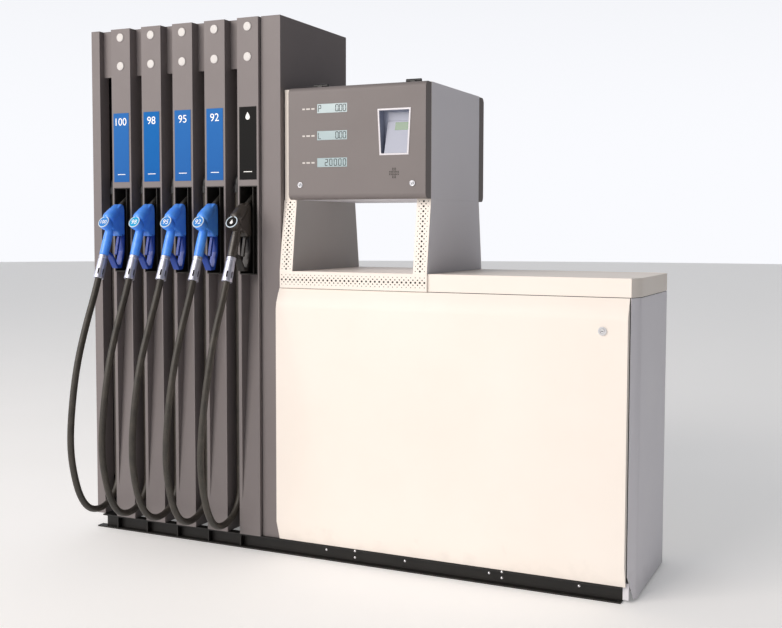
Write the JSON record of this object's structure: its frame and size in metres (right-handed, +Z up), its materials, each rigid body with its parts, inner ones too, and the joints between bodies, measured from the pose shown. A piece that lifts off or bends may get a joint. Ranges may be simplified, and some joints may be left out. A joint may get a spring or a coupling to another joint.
{
  "type": "fuel dispenser",
  "caption": "Tall grey hose tower with hanging blue and black nozzles, beside a low cream pump cabinet that carries a display head on two perforated legs.",
  "frame": {"origin": "middle of the footprint on the ground, halfway along the whole length and halfway between the tower's front and back faces", "axes": "+X from the tower to the cabinet's end panel, -Y the customer's side with the nozzles, +Z up"},
  "size_m": [2.42, 0.9546, 2.2],
  "materials": {
    "tower_paint": "warm grey powder coat",
    "cream_paint": "cream powder coat",
    "side_paint": "light grey powder coat",
    "head_paint": "warm grey powder coat",
    "base_paint": "black steel paint",
    "inner_paint": "dark inner sheet",
    "boot_plastic": "dark moulded plastic",
    "cap_plastic": "white plug",
    "label_film": "printed film",
    "blue_grip": "blue nozzle cover",
    "black_grip": "black nozzle cover",
    "lever_plastic": "dark blue lever",
    "spout_metal": "turned spout",
    "swivel_metal": "plated swivel",
    "hose_rubber": "braided rubber hose",
    "lock_metal": "plated lock",
    "pin_steel": "turned pins",
    "display_glass": "display window",
    "reader_plastic": "moulded reader",
    "hinge_black": "black hinge",
    "pump_metal": "cast pump body",
    "motor_metal": "motor",
    "pipe_steel": "steel pipe"
  },
  "bodies": {
    "root": {"tower_left_side": "tower_paint", "tower_right_side": "tower_paint", "tower_roof": "tower_paint", "tower_columns": "tower_paint", "gap_panels": "tower_paint", "tower_back_panel": "tower_paint", "tower_liner": "inner_paint", "nozzle_boots": "boot_plastic", "column_caps": "cap_plastic", "grade_labels": "label_film", "hose_outlets": "pipe_steel", "pipework": "pipe_steel", "base_frame": "base_paint", "cabinet_frame": "base_paint", "door_hinge_pins": "pin_steel", "cabinet_lid": "cream_paint", "perforated_fascias": "cream_paint", "cabinet_end_panel": "side_paint", "left_leg": "side_paint", "right_leg": "side_paint", "head_chassis": "side_paint", "head_rear_cover": "head_paint", "cover_hinges": "hinge_black", "pump_units": "pump_metal", "flow_meters": "pump_metal", "pump_motors": "motor_metal", "hose_1": "hose_rubber", "hose_2": "hose_rubber", "hose_3": "hose_rubber", "hose_4": "hose_rubber", "hose_5": "hose_rubber"},
    "nozzle_1": {"nozzle_1_body": "blue_grip", "nozzle_1_spout": "spout_metal"},
    "lever_1": {"nozzle_1_lever": "lever_plastic"},
    "hose_swivel_1": {"swivel_1": "swivel_metal"},
    "nozzle_2": {"nozzle_2_body": "blue_grip", "nozzle_2_spout": "spout_metal"},
    "lever_2": {"nozzle_2_lever": "lever_plastic"},
    "hose_swivel_2": {"swivel_2": "swivel_metal"},
    "nozzle_3": {"nozzle_3_body": "blue_grip", "nozzle_3_spout": "spout_metal"},
    "lever_3": {"nozzle_3_lever": "lever_plastic"},
    "hose_swivel_3": {"swivel_3": "swivel_metal"},
    "nozzle_4": {"nozzle_4_body": "blue_grip", "nozzle_4_spout": "spout_metal"},
    "lever_4": {"nozzle_4_lever": "lever_plastic"},
    "hose_swivel_4": {"swivel_4": "swivel_metal"},
    "nozzle_5": {"nozzle_5_body": "black_grip", "nozzle_5_spout": "spout_metal"},
    "lever_5": {"nozzle_5_lever": "black_grip"},
    "hose_swivel_5": {"swivel_5": "swivel_metal"},
    "front_door": {"cabinet_front_door": "cream_paint"},
    "rear_door": {"cabinet_rear_door": "cream_paint"},
    "front_lock": {"front_door_lock": "lock_metal"},
    "rear_lock": {"rear_door_lock": "lock_metal"},
    "head_cover": {"head_front_cover": "head_paint", "display_windows": "display_glass", "card_reader": "reader_plastic"},
    "cover_lock_left": {"head_lock_left": "lock_metal"},
    "cover_lock_right": {"head_lock_right": "lock_metal"}
  },
  "joints": [
    {"name": "nozzle_1_lift_out", "type": "slide", "parent": "root", "child": "nozzle_1", "axis": [0, -1, 0], "range_m": [0, 0.15], "deforming": ["hose_1"]},
    {"name": "lever_1_squeeze", "type": "hinge", "parent": "nozzle_1", "child": "lever_1", "pos_m": [-1.0385, -0.3315, 1.31], "axis": [-1, 0, 0], "range_deg": [0, 15], "stiffness_Nm_per_rad": 0.6},
    {"name": "swivel_1_turn", "type": "hinge", "parent": "nozzle_1", "child": "hose_swivel_1", "pos_m": [-1.0385, -0.4295, 1.224], "axis": [0, -0.348, -0.9375], "continuous": true},
    {"name": "nozzle_2_lift_out", "type": "slide", "parent": "root", "child": "nozzle_2", "axis": [0, -1, 0], "range_m": [0, 0.15], "deforming": ["hose_2"]},
    {"name": "lever_2_squeeze", "type": "hinge", "parent": "nozzle_2", "child": "lever_2", "pos_m": [-0.877, -0.3315, 1.31], "axis": [-1, 0, 0], "range_deg": [0, 15], "stiffness_Nm_per_rad": 0.6},
    {"name": "swivel_2_turn", "type": "hinge", "parent": "nozzle_2", "child": "hose_swivel_2", "pos_m": [-0.877, -0.4295, 1.224], "axis": [0, -0.348, -0.9375], "continuous": true},
    {"name": "nozzle_3_lift_out", "type": "slide", "parent": "root", "child": "nozzle_3", "axis": [0, -1, 0], "range_m": [0, 0.15], "deforming": ["hose_3"]},
    {"name": "lever_3_squeeze", "type": "hinge", "parent": "nozzle_3", "child": "lever_3", "pos_m": [-0.7155, -0.3315, 1.31], "axis": [-1, 0, 0], "range_deg": [0, 15], "stiffness_Nm_per_rad": 0.6},
    {"name": "swivel_3_turn", "type": "hinge", "parent": "nozzle_3", "child": "hose_swivel_3", "pos_m": [-0.7155, -0.4295, 1.224], "axis": [0, -0.348, -0.9375], "continuous": true},
    {"name": "nozzle_4_lift_out", "type": "slide", "parent": "root", "child": "nozzle_4", "axis": [0, -1, 0], "range_m": [0, 0.15], "deforming": ["hose_4"]},
    {"name": "lever_4_squeeze", "type": "hinge", "parent": "nozzle_4", "child": "lever_4", "pos_m": [-0.554, -0.3315, 1.31], "axis": [-1, 0, 0], "range_deg": [0, 15], "stiffness_Nm_per_rad": 0.6},
    {"name": "swivel_4_turn", "type": "hinge", "parent": "nozzle_4", "child": "hose_swivel_4", "pos_m": [-0.554, -0.4295, 1.224], "axis": [0, -0.348, -0.9375], "continuous": true},
    {"name": "nozzle_5_lift_out", "type": "slide", "parent": "root", "child": "nozzle_5", "axis": [0, -1, 0], "range_m": [0, 0.15], "deforming": ["hose_5"]},
    {"name": "lever_5_squeeze", "type": "hinge", "parent": "nozzle_5", "child": "lever_5", "pos_m": [-0.3925, -0.3315, 1.31], "axis": [-1, 0, 0], "range_deg": [0, 15], "stiffness_Nm_per_rad": 0.6},
    {"name": "swivel_5_turn", "type": "hinge", "parent": "nozzle_5", "child": "hose_swivel_5", "pos_m": [-0.3925, -0.4295, 1.224], "axis": [0, -0.348, -0.9375], "continuous": true},
    {"name": "front_door_swing", "type": "hinge", "parent": "root", "child": "front_door", "pos_m": [-0.24, -0.3025, 0.6], "axis": [0, 0, -1], "range_deg": [0, 90]},
    {"name": "rear_door_swing", "type": "hinge", "parent": "root", "child": "rear_door", "pos_m": [-0.24, 0.3025, 0.6], "axis": [0, 0, 1], "range_deg": [0, 90]},
    {"name": "front_lock_turn", "type": "hinge", "parent": "front_door", "child": "front_lock", "pos_m": [1.091, -0.3235, 0.981], "axis": [0, 1, 0], "range_deg": [0, 90]},
    {"name": "rear_lock_turn", "type": "hinge", "parent": "rear_door", "child": "rear_lock", "pos_m": [1.091, 0.3235, 0.981], "axis": [0, 1, 0], "range_deg": [0, 90]},
    {"name": "head_cover_lift", "type": "hinge", "parent": "root", "child": "head_cover", "pos_m": [0.105, -0.2595, 1.909], "axis": [-1, 0, 0], "range_deg": [0, 80]},
    {"name": "cover_lock_left_turn", "type": "hinge", "parent": "head_cover", "child": "cover_lock_left", "pos_m": [-0.14, -0.3155, 1.514], "axis": [0, 1, 0], "range_deg": [0, 90]},
    {"name": "cover_lock_right_turn", "type": "hinge", "parent": "head_cover", "child": "cover_lock_right", "pos_m": [0.35, -0.3155, 1.514], "axis": [0, 1, 0], "range_deg": [0, 90]}
  ]
}
